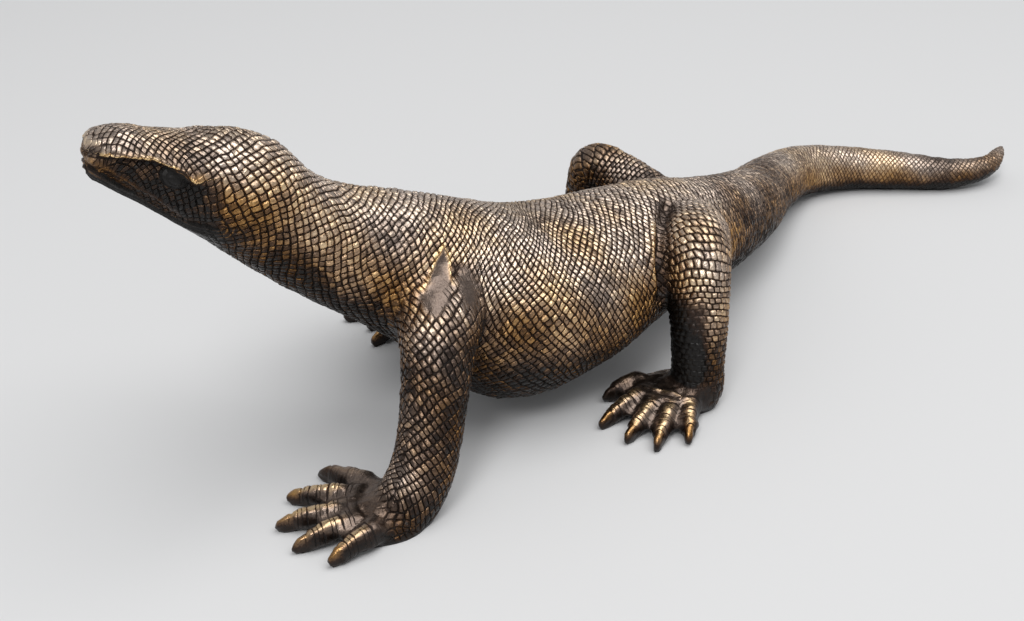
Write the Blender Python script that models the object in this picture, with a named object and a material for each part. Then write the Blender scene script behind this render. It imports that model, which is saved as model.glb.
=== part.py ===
"""A komodo dragon figurine, cast in bronze as one piece.

The dragon stands on the plane z = 0 with its nose towards -X and its tail towards +X.
Its pose, proportions and carving are shares of its own length. They are written in 300ths
of that length, which are millimetres on the real piece of about 300 mm.
"""

import math
from dataclasses import dataclass

import bmesh
import bpy
import numpy as np
from mathutils import Matrix, Vector

LENGTH = 0.300
SHARE = LENGTH / 300

# The point of the modelled figure that lies over the origin.
MIDDLE_X = 56.7
MIDDLE_Y = 41.0

# How finely the form is worked before and after it is thinned.
RING_SIDES = 28
STEPS_PER_SPAN = 5
STEPS_PER_DIGIT_SPAN = 3
CAST_GRAIN = 0.9
SOFTENING = 0.5
SOFTENING_ROUNDS = 6
MOST_TRIANGLES = 9800


@dataclass
class Section:
    """An oval section of the body: its centre, its half width, and its height above and below."""

    x: float
    y: float
    z: float
    half_width: float
    above: float
    below: float

    def row(self):
        return (self.x, self.y, self.z, self.half_width, self.above, self.below)


BODY = [
    Section(-94.2, 36.0, 86.0, 2.5, 2.2, 2.2),
    Section(-92.8, 36.0, 85.6, 5.8, 4.3, 4.8),
    Section(-89.0, 36.3, 84.3, 8.0, 6.0, 6.4),
    Section(-81.0, 37.0, 80.8, 9.5, 6.5, 9.0),
    Section(-72.0, 37.0, 76.2, 11.0, 8.6, 11.6),
    Section(-63.0, 37.0, 70.0, 12.5, 12.3, 13.0),
    Section(-54.0, 37.5, 61.5, 13.0, 11.0, 13.5),
    Section(-44.0, 38.0, 51.3, 14.5, 15.0, 12.7),
    Section(-32.0, 38.0, 42.5, 17.5, 18.7, 13.4),
    Section(-18.0, 37.0, 34.8, 20.5, 20.6, 17.6),
    Section(-2.0, 33.0, 28.5, 24.5, 21.6, 25.4),
    Section(14.0, 32.0, 27.5, 24.0, 20.3, 21.8),
    Section(30.0, 33.5, 28.0, 20.5, 18.5, 18.3),
    Section(45.0, 36.0, 27.5, 17.0, 17.0, 16.3),
    Section(60.0, 39.0, 25.0, 14.5, 15.2, 15.0),
    Section(78.0, 46.0, 21.0, 12.5, 13.3, 12.7),
    Section(98.0, 57.0, 16.0, 10.8, 11.3, 10.7),
    Section(118.0, 70.0, 11.9, 9.0, 9.8, 9.8),
    Section(138.0, 78.0, 8.9, 7.5, 8.6, 8.0),
    Section(156.0, 75.0, 7.0, 6.5, 7.2, 7.0),
    Section(171.0, 66.0, 6.1, 6.0, 6.0, 6.1),
    Section(185.0, 56.5, 5.2, 5.0, 4.7, 5.2),
    Section(197.0, 52.5, 6.0, 3.6, 3.5, 3.8),
    Section(205.0, 54.5, 8.2, 2.2, 2.0, 2.4),
    Section(208.0, 56.0, 9.2, 0.9, 0.9, 0.9),
]


@dataclass
class LimbSection:
    """An oval section of a limb: its centre, and its half sizes across and along the body."""

    x: float
    y: float
    z: float
    across: float
    along: float

    def row(self):
        return (self.x, self.y, self.z, self.across, self.along, self.along)


LEFT_ARM = [
    LimbSection(-17.0, 36.0, 34.0, 9.0, 9.5),
    LimbSection(-22.0, 27.0, 37.5, 9.5, 10.5),
    LimbSection(-27.5, 19.0, 36.0, 9.2, 9.8),
    LimbSection(-31.5, 13.0, 30.5, 8.3, 8.6),
    LimbSection(-35.0, 9.0, 24.0, 7.4, 7.8),
    LimbSection(-38.0, 6.0, 17.0, 7.0, 7.4),
    LimbSection(-41.5, 4.0, 10.0, 7.1, 7.4),
    LimbSection(-45.0, 3.3, 5.0, 7.2, 7.6),
    LimbSection(-47.5, 4.0, 2.0, 6.8, 7.2),
]
RIGHT_ARM = [
    LimbSection(-19.0, 38.0, 34.0, 9.0, 9.5),
    LimbSection(-17.0, 47.0, 35.5, 9.5, 10.5),
    LimbSection(-13.0, 56.0, 33.5, 9.2, 10.0),
    LimbSection(-7.5, 63.0, 28.5, 8.4, 9.0),
    LimbSection(-2.0, 68.5, 22.0, 7.5, 8.0),
    LimbSection(2.5, 72.5, 15.5, 7.2, 7.6),
    LimbSection(6.5, 75.5, 9.5, 7.4, 7.8),
    LimbSection(8.5, 77.0, 5.0, 7.7, 8.0),
    LimbSection(7.5, 77.5, 2.0, 7.2, 7.6),
]
LEFT_LEG = [
    LimbSection(52.0, 33.0, 29.0, 9.0, 10.0),
    LimbSection(48.5, 25.0, 33.5, 9.3, 10.0),
    LimbSection(44.5, 18.0, 35.5, 8.8, 9.2),
    LimbSection(41.0, 12.0, 32.5, 8.0, 8.2),
    LimbSection(39.0, 8.5, 25.5, 7.3, 7.6),
    LimbSection(37.5, 6.0, 18.0, 6.8, 7.2),
    LimbSection(36.5, 4.5, 10.5, 6.5, 6.7),
    LimbSection(36.0, 3.5, 5.0, 6.5, 6.9),
    LimbSection(34.5, 4.0, 2.0, 6.2, 6.6),
]
RIGHT_LEG = [
    LimbSection(53.0, 39.0, 29.0, 9.0, 10.0),
    LimbSection(53.0, 47.0, 33.0, 7.8, 8.5),
    LimbSection(50.5, 56.0, 36.8, 6.9, 7.2),
    LimbSection(47.2, 63.5, 38.6, 6.3, 6.5),
    LimbSection(47.5, 66.0, 30.0, 6.4, 6.6),
    LimbSection(47.5, 67.5, 20.0, 6.5, 6.8),
    LimbSection(46.5, 68.5, 10.5, 6.4, 6.6),
    LimbSection(46.0, 69.5, 5.0, 6.5, 6.9),
    LimbSection(44.5, 69.0, 2.0, 6.2, 6.6),
]

# Each digit's angle from the foot's own bearing in degrees, and its reach from the middle of the palm.
LEFT_HAND_DIGITS = ((-53, 23.1), (-25, 23.4), (0, 23.9), (22, 22.0), (48, 19.4))
RIGHT_HAND_DIGITS = ((-50, 22.0), (-18, 23.7), (2, 19.6), (21, 24.2), (47, 20.0))
HIND_DIGITS = ((-50, 17.6), (-21, 23.8), (0, 24.2), (18, 24.4), (38, 20.8))


@dataclass
class Foot:
    """A foot: its palm's middle, its bearing in degrees, which way round its digits run, and the digits."""

    x: float
    y: float
    bearing: float
    turn: int
    digits: tuple


FEET = [
    Foot(-51.0, 4.5, 156.0, 1, LEFT_HAND_DIGITS),
    Foot(3.0, 77.5, 180.0, -1, RIGHT_HAND_DIGITS),
    Foot(32.0, 8.0, 204.0, 1, HIND_DIGITS),
    Foot(42.0, 64.5, 160.0, -1, HIND_DIGITS),
]
PALM_REACH = 10.0
PALM_BREADTH = 8.8
PALM_HEIGHT = 6.4
PALM_CENTRE = 0.4

# A digit's knuckle lies nearer the palm than its tip, on a wider fan.
KNUCKLE_REACH = 9.4
KNUCKLE_FAN = 1.42
# Share of the way from knuckle to tip, height of the centre, and radius.
DIGIT_PROFILE = (
    (0.0, 3.6, 3.0),
    (0.3, 3.4, 2.8),
    (0.6, 2.6, 2.5),
    (0.8, 1.9, 2.1),
    (0.93, 1.1, 1.4),
    (1.0, 0.7, 0.5),
)
DIGIT_ROOT_HEIGHT = 3.0
DIGIT_ROOT_RADIUS = 3.2

# Where the limbs leave the trunk: each joint's middle, the reach of its hollow, and how soft that is.
JOINTS = [
    ((-24.0, 20.0, 38.0), 16.0, 1.0),
    ((-16.0, 53.0, 35.0), 16.0, 1.0),
    ((47.0, 23.0, 34.0), 10.0, 0.5),
    ((53.0, 47.0, 33.0), 10.0, 0.5),
]
JOINT_SOFTENING_ROUNDS = 40
WRIST_HEIGHT = 7.0
WRIST_REACH = 8.0
WRIST_SOFTNESS = 0.6


@dataclass
class Line:
    """A line carved into both sides of the head or raised from them, as it runs in side view (x and z)."""

    points: tuple
    half_width: float
    rise: float


BROW = Line(((-90.5, 87.3), (-88.0, 86.4), (-84.0, 84.9), (-80.5, 83.0), (-77.8, 80.2)), 1.5, 0.7)
CHEEK = Line(((-91.0, 84.5), (-86.0, 82.5), (-81.0, 77.0), (-75.0, 73.5)), 3.6, -0.5)
SNOUT_RUN = ((-96.0, 84.6), (-92.0, 83.0), (-88.0, 79.0))
LIP_RUN = ((-84.0, 75.2), (-79.0, 70.6), (-75.0, 68.6), (-72.5, 68.2))
MOUTH = Line(SNOUT_RUN + LIP_RUN, 1.1, -0.6)
EYE = Line(((-81.4, 80.4), (-79.8, 80.0)), 3.0, 1.1)


def clear_scene():
    """Remove everything that the scene holds at the start."""
    for thing in list(bpy.data.objects):
        bpy.data.objects.remove(thing, do_unlink=True)


def smooth_path(rows, steps):
    """Rows of numbers read along a Catmull-Rom curve through the given rows."""
    points = np.array(rows, float)
    before = 2 * points[0] - points[1]
    after = 2 * points[-1] - points[-2]
    points = np.vstack([before, points, after])
    found = []
    for i in range(1, len(points) - 2):
        a, b, c, d = points[i - 1 : i + 3]
        for t in np.arange(steps) / steps:
            square = (2 * a - 5 * b + 4 * c - d) * t**2
            cube = (3 * b - a - 3 * c + d) * t**3
            found.append(0.5 * (2 * b + (c - a) * t + square + cube))
    found.append(points[-2])
    return np.array(found)


def add_ring(mesh, centre, along, reference, half_sizes):
    """Add one oval ring square to the direction along. The reference says which way is up."""
    wide, above, below = half_sizes
    side = Vector(reference).cross(along).normalized()
    up = along.cross(side)
    place = Matrix((side, up, along)).transposed().to_4x4()
    place.translation = Vector(centre)
    ring = bmesh.ops.create_circle(mesh, segments=RING_SIDES, radius=1.0)["verts"]
    for vertex in ring:
        vertex.co.x *= wide
        vertex.co.y *= above if vertex.co.y > 0 else below
    bmesh.ops.transform(mesh, matrix=place, verts=ring)
    return ring


def ring_edges(ring):
    """The edges that run round a ring."""
    members = set(ring)
    edges = {edge for vertex in ring for edge in vertex.link_edges}
    return [edge for edge in edges if edge.verts[0] in members and edge.verts[1] in members]


def add_tube(mesh, rows, reference):
    """Add a closed tube through rows of x, y, z, half width, height above and height below."""
    centres = rows[:, :3]
    rings = []
    for i, row in enumerate(rows):
        ahead = centres[min(i + 1, len(rows) - 1)]
        behind = centres[max(i - 1, 0)]
        along = Vector(ahead - behind).normalized()
        rings.append(add_ring(mesh, row[:3], along, reference, row[3:]))
    for ring, following in zip(rings, rings[1:]):
        bmesh.ops.bridge_loops(mesh, edges=ring_edges(ring) + ring_edges(following))
    for ring in (rings[0], rings[-1]):
        bmesh.ops.contextual_create(mesh, geom=ring)


def add_body(mesh):
    """Add the head, neck, trunk and tail as one tube."""
    add_tube(mesh, smooth_path([section.row() for section in BODY], STEPS_PER_SPAN), (0, 0, 1))


def add_limb(mesh, sections):
    """Add an arm or a leg, from inside the trunk down to its heel."""
    add_tube(mesh, smooth_path([section.row() for section in sections], STEPS_PER_SPAN), (-1, 0, 0))


def fan_point(foot, angle, reach):
    """The point on the ground that lies at an angle from the foot's bearing, at a reach from its palm."""
    bearing = math.radians(foot.bearing + foot.turn * angle)
    return np.array([foot.x + reach * math.cos(bearing), foot.y + reach * math.sin(bearing)])


def add_digit(mesh, foot, angle, reach):
    """Add one digit, from inside the palm over its knuckle to the tip of its claw."""
    knuckle = fan_point(foot, angle * KNUCKLE_FAN, KNUCKLE_REACH)
    tip = fan_point(foot, angle, reach)
    root = (knuckle + (foot.x, foot.y)) / 2
    rows = [(*root, DIGIT_ROOT_HEIGHT, *[DIGIT_ROOT_RADIUS] * 3)]
    for share, height, radius in DIGIT_PROFILE:
        rows.append((*(knuckle + (tip - knuckle) * share), height, *[radius] * 3))
    add_tube(mesh, smooth_path(rows, STEPS_PER_DIGIT_SPAN), (0, 0, 1))


def add_foot(mesh, foot):
    """Add a palm and its five digits, spread in a fan."""
    ball = bmesh.ops.create_uvsphere(mesh, u_segments=RING_SIDES, v_segments=RING_SIDES // 2, radius=1.0)
    palm = ball["verts"]
    squash = Matrix.Diagonal((PALM_REACH, PALM_BREADTH, PALM_HEIGHT, 1.0))
    turn = Matrix.Rotation(math.radians(foot.bearing), 4, "Z")
    place = Matrix.Translation((foot.x, foot.y, PALM_CENTRE))
    bmesh.ops.transform(mesh, matrix=place @ turn @ squash, verts=palm)
    for angle, reach in foot.digits:
        add_digit(mesh, foot, angle, reach)


def rough_form():
    """The figure as overlapping tubes, at its real size and place."""
    mesh = bmesh.new()
    add_body(mesh)
    for limb in (LEFT_ARM, RIGHT_ARM, LEFT_LEG, RIGHT_LEG):
        add_limb(mesh, limb)
    for foot in FEET:
        add_foot(mesh, foot)
    bmesh.ops.translate(mesh, verts=mesh.verts, vec=(-MIDDLE_X, -MIDDLE_Y, 0))
    bmesh.ops.scale(mesh, verts=mesh.verts, vec=(SHARE, SHARE, SHARE))
    bmesh.ops.recalc_face_normals(mesh, faces=mesh.faces)
    data = bpy.data.meshes.new("komodo_dragon")
    mesh.to_mesh(data)
    mesh.free()
    return data


def apply_modifiers(thing):
    """Give an object the mesh that its modifiers make, and take them away."""
    bpy.context.view_layer.update()
    graph = bpy.context.evaluated_depsgraph_get()
    made = bpy.data.meshes.new_from_object(thing.evaluated_get(graph))
    thing.modifiers.clear()
    thing.data = made


def melt_together(thing):
    """Join the overlapping tubes into one skin with soft hollows between them."""
    remesh = thing.modifiers.new("cast", "REMESH")
    remesh.mode = "VOXEL"
    remesh.voxel_size = CAST_GRAIN * SHARE
    smooth = thing.modifiers.new("soften", "SMOOTH")
    smooth.iterations = SOFTENING_ROUNDS
    smooth.factor = SOFTENING
    apply_modifiers(thing)


def soften_joints(thing):
    """Round out the hollows where the limbs leave the trunk and where they meet the palms."""
    group = thing.vertex_groups.new(name="joints")
    wrists = [((foot.x, foot.y, WRIST_HEIGHT), WRIST_REACH, WRIST_SOFTNESS) for foot in FEET]
    middle = Vector((MIDDLE_X, MIDDLE_Y, 0))
    places = [(Vector(place) - middle, reach, soft) for place, reach, soft in JOINTS + wrists]
    for vertex in thing.data.vertices:
        here = vertex.co / SHARE
        weight = max(soft * min(1.0, 2.0 - (here - place).length / reach) for place, reach, soft in places)
        if weight > 0:
            group.add([vertex.index], weight, "REPLACE")
    smooth = thing.modifiers.new("hollows", "SMOOTH")
    smooth.vertex_group = group.name
    smooth.iterations = JOINT_SOFTENING_ROUNDS
    smooth.factor = SOFTENING
    apply_modifiers(thing)
    thing.vertex_groups.clear()


def line_distance(places, line):
    """How far each place, as x and z, lies from a carved line."""
    points = smooth_path(line.points, STEPS_PER_SPAN)
    nearest = np.full(len(places), np.inf)
    for start, end in zip(points, points[1:]):
        span = end - start
        share = np.clip((places - start) @ span / (span @ span), 0, 1)
        nearest = np.minimum(nearest, np.linalg.norm(places - start - share[:, None] * span, axis=1))
    return nearest


def carve_head(thing):
    """Raise the brows and the eyes, and sink the cheeks and the mouth."""
    mesh = thing.data
    places = np.array([vertex.co for vertex in mesh.vertices])
    outward = np.array([normal.vector for normal in mesh.vertex_normals])
    side_view = places[:, (0, 2)] / SHARE + (MIDDLE_X, 0)
    for line in (CHEEK, EYE, BROW, MOUTH):
        nearness = np.clip(1 - (line_distance(side_view, line) / line.half_width) ** 2, 0, 1)
        places = places + outward * (line.rise * SHARE * nearness**2)[:, None]
    mesh.vertices.foreach_set("co", places.ravel())
    mesh.update()


def flatten_soles(thing):
    """Cut the figure flat at the ground, so that its feet, and its tail where it lies, rest on faces."""
    cut = bmesh.new()
    cut.from_mesh(thing.data)
    geometry = cut.verts[:] + cut.edges[:] + cut.faces[:]
    bmesh.ops.bisect_plane(cut, geom=geometry, plane_co=(0, 0, 0), plane_no=(0, 0, -1), clear_outer=True)
    bmesh.ops.holes_fill(cut, edges=[edge for edge in cut.edges if edge.is_boundary], sides=0)
    bmesh.ops.triangulate(cut, faces=cut.faces)
    cut.to_mesh(thing.data)
    cut.free()


def thin_out(thing):
    """Keep the triangles that the form needs."""
    thin = thing.modifiers.new("thin", "DECIMATE")
    triangles = sum(len(face.vertices) - 2 for face in thing.data.polygons)
    thin.ratio = min(1.0, MOST_TRIANGLES / triangles)
    apply_modifiers(thing)


def bronze():
    """Dark brown cast bronze, worn to a dull gold."""
    material = bpy.data.materials.new("bronze")
    material.use_nodes = True
    shader = material.node_tree.nodes["Principled BSDF"]
    shader.inputs["Base Color"].default_value = (0.16, 0.1, 0.05, 1)
    shader.inputs["Metallic"].default_value = 1.0
    shader.inputs["Roughness"].default_value = 0.4
    return material


def main():
    clear_scene()
    dragon = bpy.data.objects.new("komodo_dragon", rough_form())
    bpy.context.scene.collection.objects.link(dragon)
    melt_together(dragon)
    soften_joints(dragon)
    carve_head(dragon)
    thin_out(dragon)
    flatten_soles(dragon)
    dragon.data.materials.append(bronze())
    dragon.data.shade_smooth()


main()
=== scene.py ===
"""A komodo dragon figurine in patinated bronze, on a pale studio floor.

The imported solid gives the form. A fine skin is cast over it, and the scales, the face, the digits
and the bare patches are sculpted into that skin. Lengths are millimetres, and MM makes them metres.
"""
import logging
import math
from collections.abc import Callable
from dataclasses import dataclass
from enum import Enum

import bmesh
import bpy
import numpy as np
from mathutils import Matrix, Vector


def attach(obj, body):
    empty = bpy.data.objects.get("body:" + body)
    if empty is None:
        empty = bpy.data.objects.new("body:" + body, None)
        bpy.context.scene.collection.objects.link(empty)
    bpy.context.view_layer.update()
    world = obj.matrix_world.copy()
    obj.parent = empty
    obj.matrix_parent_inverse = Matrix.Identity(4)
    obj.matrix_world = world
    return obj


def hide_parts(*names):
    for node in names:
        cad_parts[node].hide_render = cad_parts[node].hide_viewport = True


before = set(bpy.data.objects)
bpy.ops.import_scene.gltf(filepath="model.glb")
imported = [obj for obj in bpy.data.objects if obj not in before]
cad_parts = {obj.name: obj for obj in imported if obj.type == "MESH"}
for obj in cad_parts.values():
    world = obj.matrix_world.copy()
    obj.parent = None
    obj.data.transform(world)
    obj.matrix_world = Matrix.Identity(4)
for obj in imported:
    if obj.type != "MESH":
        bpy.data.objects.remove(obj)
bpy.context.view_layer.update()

MM = 0.001
NODE = "komodo_dragon"
BODY = "root"
Socket = bpy.types.NodeSocket

log = logging.getLogger("dragon")


def smooth_rows(rows: tuple, steps: int) -> np.ndarray:
    """Read rows of numbers along a Catmull-Rom curve.

    Args:
        rows: The rows that the curve passes through.
        steps: How many rows are read from each to the next.

    Returns:
        The rows along the curve, ends included.
    """
    points = np.array(rows, float)
    points = np.vstack([2 * points[0] - points[1], points, 2 * points[-1] - points[-2]])
    found = []
    for i in range(1, len(points) - 2):
        a, b, c, d = points[i - 1 : i + 3]
        for t in np.arange(steps) / steps:
            square = (2 * a - 5 * b + 4 * c - d) * t**2
            cube = (3 * b - a - 3 * c + d) * t**3
            found.append(0.5 * (2 * b + (c - a) * t + square + cube))
    found.append(points[-2])
    return np.array(found)


def smooth_step(low: float, high: float, values: np.ndarray) -> np.ndarray:
    """Rise smoothly from 0 at low to 1 at high."""
    share = np.clip((values - low) / (high - low), 0, 1)
    return share * share * (3 - 2 * share)


def bell(distance: np.ndarray, width: float) -> np.ndarray:
    """Fall from 1 at no distance to about a third at one width."""
    return np.exp(-((distance / width) ** 2))


def unit(vectors: np.ndarray) -> np.ndarray:
    """Scale vectors to a length of 1."""
    return vectors / np.maximum(np.linalg.norm(vectors, axis=-1, keepdims=True), 1e-9)


def wander(places: np.ndarray, wave: float, seed: int) -> np.ndarray:
    """Drift smoothly between about -1 and 1 through space.

    Args:
        places: Points, in mm.
        wave: The length of its waves, in mm.
        seed: Which drift this is.

    Returns:
        One value for each point.
    """
    chance = np.random.default_rng(seed)
    total = np.zeros(len(places))
    waves = 5
    for _ in range(waves):
        way = unit(chance.normal(size=3)) * 2 * math.pi / (wave * chance.uniform(0.7, 1.5))
        total += np.sin(places @ way + chance.uniform(0, 2 * math.pi))
    return total / math.sqrt(waves)


def cell_chance(first: np.ndarray, second: np.ndarray, seed: int) -> np.ndarray:
    """Draw one number from 0 to 1 for each cell, always the same one."""
    mixed = np.sin(np.floor(first) * 127.1 + np.floor(second) * 311.7 + seed * 74.7) * 43758.5453
    return mixed - np.floor(mixed)


def measure_near(chosen: np.ndarray, places: np.ndarray, measure: Callable) -> np.ndarray:
    """Measure only the chosen points, and give the rest 0.

    Args:
        chosen: Which points are measured.
        places: Points, in mm.
        measure: What gives one value for each point.

    Returns:
        One value for each point.
    """
    found = np.zeros(len(places))
    if chosen.any():
        found[chosen] = measure(places[chosen])
    return found


def polyline_distance(places: np.ndarray, points: tuple, steps: int = 4) -> np.ndarray:
    """Measure how far points lie from a smooth line.

    Args:
        places: Points, in mm.
        points: The points that the line passes through.
        steps: How many short stretches stand for each span of it.

    Returns:
        The distance of each point, in mm.
    """
    line = smooth_rows(points, steps)
    nearest = np.full(len(places), np.inf)
    for start, end in zip(line, line[1:]):
        span = end - start
        share = np.clip((places - start) @ span / (span @ span), 0, 1)
        nearest = np.minimum(nearest, np.linalg.norm(places - start - share[:, None] * span, axis=1))
    return nearest


def line_share(places: np.ndarray, line: tuple, width: float) -> np.ndarray:
    """Fall from 1 on a smooth line to about a third at one width from it."""
    return bell(polyline_distance(places, line), width)


@dataclass
class Reading:
    """Where points lie along and around a centre line.

    Attributes:
        along: Distance along the line from its start, in mm.
        turn: Angle around it from its upper side, in radians, negative on one side.
        girth: Radius of the form there, in mm.
        closeness: Distance from the line as a share of that radius.
        along_way: How the distance along grows in space, for each mm.
        around_way: How the distance around, away from the upper side, grows in space, for each mm.
    """

    along: np.ndarray
    turn: np.ndarray
    girth: np.ndarray
    closeness: np.ndarray
    along_way: np.ndarray
    around_way: np.ndarray


@dataclass(frozen=True)
class CentreLine:
    """A smooth line through the middle of the trunk or of a limb.

    Attributes:
        rows: x, y, z and the radius of the form at each of its points, in mm.
        upper: The direction that its upper side faces.
        steps: How many samples are taken from each point to the next.
    """

    rows: tuple
    upper: tuple
    steps: int = 14

    def read(self, places: np.ndarray) -> Reading:
        """Find where points lie along and around the line."""
        samples = smooth_rows(self.rows, self.steps)
        centres = samples[:, :3]
        arc = np.concatenate([[0], np.cumsum(np.linalg.norm(np.diff(centres, axis=0), axis=1))])
        ways = unit(np.gradient(centres, arc, axis=0))
        nearest = self._nearest(places, centres)
        ahead = np.einsum("ij,ij->i", places - centres[nearest], ways[nearest]) > 0
        start = np.clip(np.where(ahead, nearest, nearest - 1), 0, len(centres) - 2)
        before = np.einsum("ij,ij->i", places - centres[start], ways[start])
        after = np.einsum("ij,ij->i", places - centres[start + 1], ways[start + 1])
        share = np.clip(before / np.where(np.abs(before - after) < 1e-9, 1e-9, before - after), 0, 1)
        mixed = samples[start] + share[:, None] * (samples[start + 1] - samples[start])
        way = unit(ways[start] + share[:, None] * (ways[start + 1] - ways[start]))
        out = places - mixed[:, :3]
        top = unit(np.array(self.upper) - way * (way @ np.array(self.upper))[:, None])
        side = np.cross(way, top)
        turn = np.arctan2(np.einsum("ij,ij->i", out, side), np.einsum("ij,ij->i", out, top))
        reach = np.maximum(np.linalg.norm(out, axis=1), 0.3)
        girth = np.maximum(mixed[:, 3], 0.8)
        round_way = side * np.cos(turn)[:, None] - top * np.sin(turn)[:, None]
        around_way = round_way * (np.sign(turn) * girth / reach)[:, None]
        along = arc[start] + share * (arc[start + 1] - arc[start])
        return Reading(along, turn, girth, reach / girth, way, around_way)

    @staticmethod
    def _nearest(places: np.ndarray, centres: np.ndarray, batch: int = 20000) -> np.ndarray:
        """Find the nearest sample to each point, a batch of points at a time."""
        found = np.empty(len(places), int)
        square = (centres**2).sum(1)
        for i in range(0, len(places), batch):
            part = places[i : i + batch]
            found[i : i + batch] = np.argmin(square - 2 * part @ centres.T, axis=1)
        return found


class Weave(Enum):
    """How scales lie on the skin."""

    LATTICE = "diamonds between two families of slanting grooves"
    BRICKS = "rings of cells round a limb, each ring half a cell on from the last"


@dataclass
class Cells:
    """The scales that points lie in, counted in cells, and how those counts grow in space."""

    first: np.ndarray
    second: np.ndarray
    first_way: np.ndarray
    second_way: np.ndarray


@dataclass(frozen=True)
class Scaling:
    """The scales of one part of the body.

    Attributes:
        weave: How they lie.
        pitch: Rows of distance along the line, scale length along it, scale length around it and
            depth of the grooves, in mm.
        pad: Share of the half cell, from its middle, that the flat top takes.
        corner: How square they are: 2 is round and 8 is square.
        stretch: How far apart the second family of grooves is, as a share of its usual number.
        lift: How much the tops differ in height, as a share of the depth.
        tilt: How much the tops lean from the middle to the edge, as a share of the depth.
        drift: How far the grooves wander, in cells.
        seed: Which random heights and leans they have.
        groove_edge: Where the material's groove starts, as a share of the half cell.
        waves: Length, in mm, and share of each of the waves that the grooves wander in.
    """

    weave: Weave
    pitch: tuple
    pad: float
    corner: float
    lift: float
    tilt: float
    drift: float
    seed: int

    stretch: float = 1.0
    groove_edge: float = 0.9
    waves: tuple = ((14.0, 1.0), (5.0, 0.5), (2.3, 0.28))

    def cells(self, places: np.ndarray, reading: Reading) -> Cells:
        """Count the cells along both families of grooves."""
        table = np.array(self.pitch)
        fine = np.linspace(table[0, 0], table[-1, 0], 800)
        density = 1 / np.interp(fine, table[:, 0], table[:, 1])
        count = np.concatenate([[0], np.cumsum((density[1:] + density[:-1]) / 2 * np.diff(fine))])
        lengthwise = np.interp(reading.along, fine, count)
        lengthwise_way = reading.along_way * np.interp(reading.along, fine, density)[:, None]
        around_pitch = np.interp(reading.along, table[:, 0], table[:, 2])
        crosswise = np.abs(reading.turn) * reading.girth / around_pitch
        crosswise_way = reading.around_way / around_pitch[:, None]
        drift = [
            sum(
                self.drift * share * wander(places, wave, self.seed + k + 2 * i)
                for i, (wave, share) in enumerate(self.waves)
            )
            for k in (1, 2)
        ]
        if self.weave is Weave.BRICKS:
            return Cells(lengthwise + drift[0], crosswise + drift[1], lengthwise_way, crosswise_way)
        return Cells(
            lengthwise + crosswise + drift[0],
            self.stretch * (lengthwise - crosswise) + drift[1],
            lengthwise_way + crosswise_way,
            self.stretch * (lengthwise_way - crosswise_way),
        )

    def staggered(self, cells: Cells) -> np.ndarray:
        """The second count, with every other ring of bricks moved on by half a cell."""
        if self.weave is Weave.BRICKS:
            return cells.second + 0.5 * (np.floor(cells.first) % 2)
        return cells.second

    def relief(self, cells: Cells) -> np.ndarray:
        """The height that the scales give the skin, as a share of the depth: 0 on a level top."""
        second = self.staggered(cells)
        a = 2 * (cells.first - np.floor(cells.first)) - 1
        b = 2 * (second - np.floor(second)) - 1
        outline = (np.abs(a) ** self.corner + np.abs(b) ** self.corner) ** (1 / self.corner)
        top = 1 - smooth_step(self.pad, 1.0, outline)
        lift = self.lift * (cell_chance(cells.first, second, self.seed) - 0.6)
        lean_a = cell_chance(cells.first, second, self.seed + 1) - 0.5
        lean_b = cell_chance(cells.first, second, self.seed + 2) - 0.5
        return top - 1 + top * (lift + 2 * self.tilt * (lean_a * a + lean_b * b))

    def snap(self, places: np.ndarray, outward: np.ndarray, cells: Cells, reach: float) -> np.ndarray:
        """Move points that lie next to a groove into it, so that its floor is crisp.

        Args:
            places: Points, in mm.
            outward: The skin's normals there.
            cells: The cells that they lie in.
            reach: The farthest that a point moves, in mm.

        Returns:
            How each point moves, in mm.
        """
        move = np.zeros_like(places)
        stagger = self.staggered(cells)
        for count, way in ((cells.first, cells.first_way), (stagger, cells.second_way)):
            flat = way - outward * np.einsum("ij,ij->i", way, outward)[:, None]
            steepness = np.maximum(np.linalg.norm(flat, axis=1), 0.05)
            off = (count - np.round(count)) / steepness
            off = np.where(np.abs(off) < reach, off, 0)
            move -= flat * (off / steepness)[:, None]
        return move


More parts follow.
